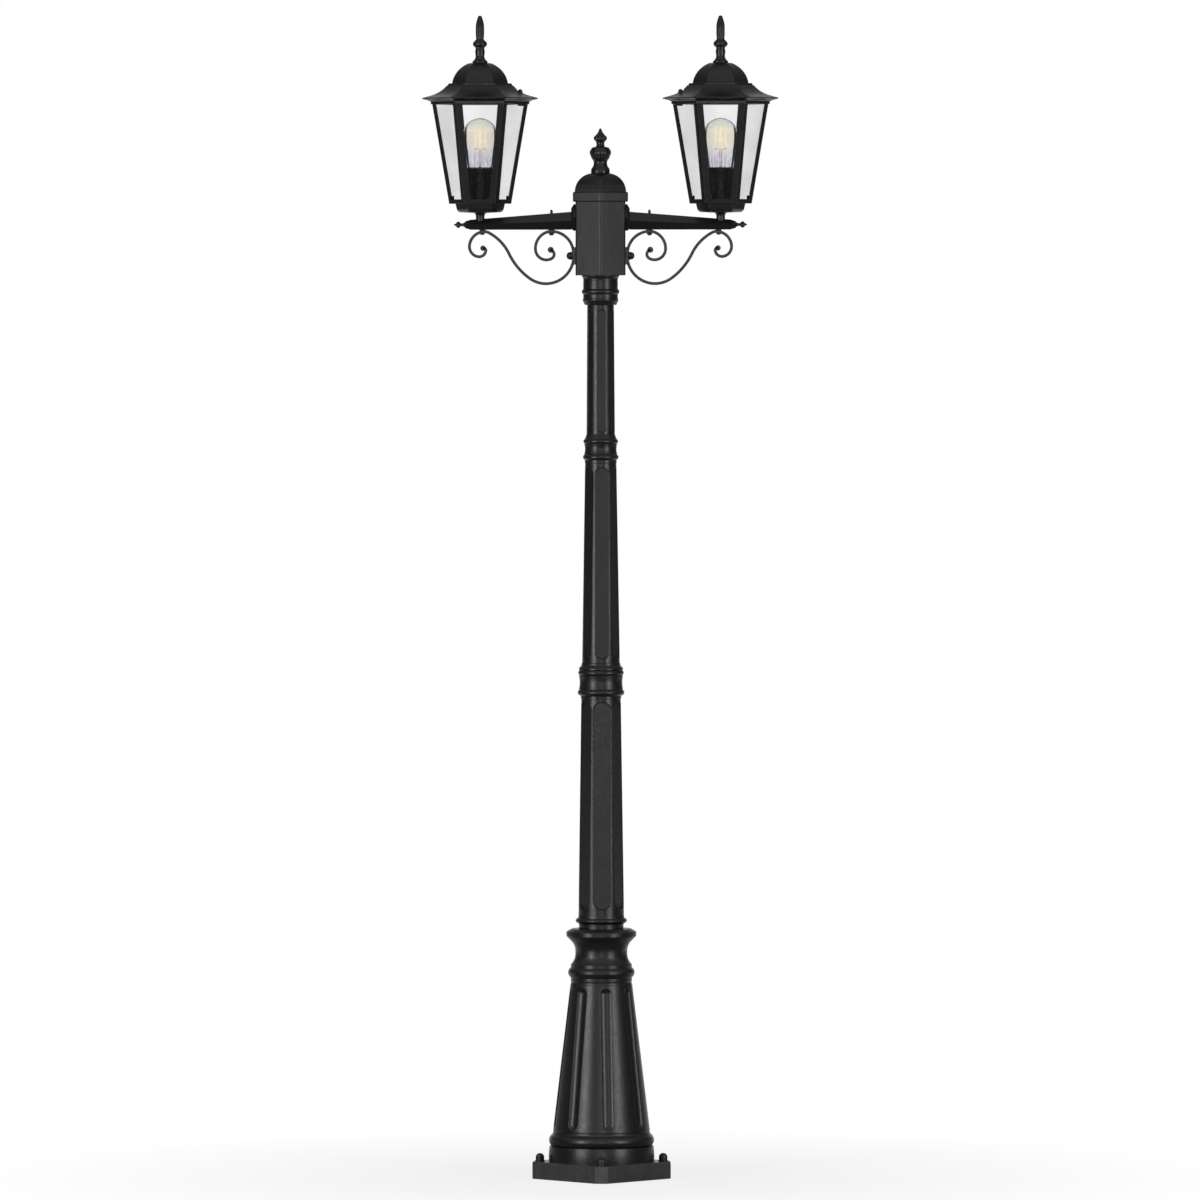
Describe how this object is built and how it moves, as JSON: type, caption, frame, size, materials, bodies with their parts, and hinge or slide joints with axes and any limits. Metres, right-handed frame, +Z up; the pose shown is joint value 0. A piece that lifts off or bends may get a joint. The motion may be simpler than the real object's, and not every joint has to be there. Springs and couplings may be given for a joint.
{
  "type": "two-arm lamp post",
  "caption": "Tall fluted garden lamp post on a square foot, with scrolled arms that carry hexagonal glass lanterns with lift-off roofs and turned finials.",
  "frame": {"origin": "on the ground at the middle of the base", "axes": "+Z up the post, X along the two arms, the front faces -Y"},
  "size_m": [0.6588, 0.256, 2.15],
  "materials": {
    "black_casting": "satin black powder coat",
    "black_steel": "satin black paint",
    "zinc_steel": "zinc plated",
    "pane_glass": "clear, polished",
    "bulb_glass": "clear, polished",
    "bulb_cap_metal": "bright",
    "filament": "glowing warm yellow",
    "socket_ceramic": "glazed porcelain",
    "terminal_plastic": "matt"
  },
  "bodies": {
    "post": {"base_casting": "black_casting", "anchor_cap_nuts": "black_steel", "lower_shaft": "black_casting", "lower_coupling": "black_casting", "middle_shaft": "black_casting", "upper_coupling": "black_casting", "upper_shaft": "black_casting", "top_collar": "black_casting", "grub_screws": "zinc_steel", "head_block": "black_casting", "head_cap": "black_casting", "head_finial": "black_casting", "terminal_block": "terminal_plastic", "head_floor_screws": "zinc_steel", "arm_right": "black_casting", "arm_end_finial_right": "black_casting", "arm_flange_screws_right": "zinc_steel", "arm_bolt_right": "black_steel", "scroll_right": "black_steel", "scroll_screw_right": "black_steel", "scroll_end_screw_right": "black_steel", "tray_right": "black_casting", "cage_right": "black_casting", "glass_panes_right": "pane_glass", "glass_clips_right": "zinc_steel", "stem_right": "zinc_steel", "stem_nut_right": "black_steel", "lamp_holder_right": "black_casting", "lamp_socket_right": "socket_ceramic", "roof_stud_right": "zinc_steel", "arm_left": "black_casting", "arm_end_finial_left": "black_casting", "arm_flange_screws_left": "zinc_steel", "arm_bolt_left": "black_steel", "scroll_left": "black_steel", "scroll_screw_left": "black_steel", "scroll_end_screw_left": "black_steel", "tray_left": "black_casting", "cage_left": "black_casting", "glass_panes_left": "pane_glass", "glass_clips_left": "zinc_steel", "stem_left": "zinc_steel", "stem_nut_left": "black_steel", "lamp_holder_left": "black_casting", "lamp_socket_left": "socket_ceramic", "roof_stud_left": "zinc_steel"},
    "lantern_roof_right": {"roof_right": "black_casting", "roof_finial_right": "black_casting"},
    "roof_nut_right": {"roof_nut_right": "black_steel"},
    "bulb_right": {"bulb_glass_right": "bulb_glass", "bulb_cap_right": "bulb_cap_metal", "bulb_filaments_right": "filament"},
    "lantern_roof_left": {"roof_left": "black_casting", "roof_finial_left": "black_casting"},
    "roof_nut_left": {"roof_nut_left": "black_steel"},
    "bulb_left": {"bulb_glass_left": "bulb_glass", "bulb_cap_left": "bulb_cap_metal", "bulb_filaments_left": "filament"}
  },
  "joints": [
    {"name": "roof_lift_right", "type": "slide", "parent": "post", "child": "lantern_roof_right", "axis": [0, 0, 1], "range_m": [0, 0.09]},
    {"name": "roof_nut_turn_right", "type": "hinge", "parent": "lantern_roof_right", "child": "roof_nut_right", "pos_m": [0.148, 0, 2.003], "axis": [0, 0, 1], "continuous": true},
    {"name": "bulb_turn_right", "type": "hinge", "parent": "post", "child": "bulb_right", "pos_m": [0.222, 0, 1.85], "axis": [0, 0, 1], "continuous": true},
    {"name": "roof_lift_left", "type": "slide", "parent": "post", "child": "lantern_roof_left", "axis": [0, 0, 1], "range_m": [0, 0.09]},
    {"name": "roof_nut_turn_left", "type": "hinge", "parent": "lantern_roof_left", "child": "roof_nut_left", "pos_m": [-0.148, 0, 2.003], "axis": [0, 0, 1], "continuous": true},
    {"name": "bulb_turn_left", "type": "hinge", "parent": "post", "child": "bulb_left", "pos_m": [-0.222, 0, 1.85], "axis": [0, 0, 1], "continuous": true}
  ]
}
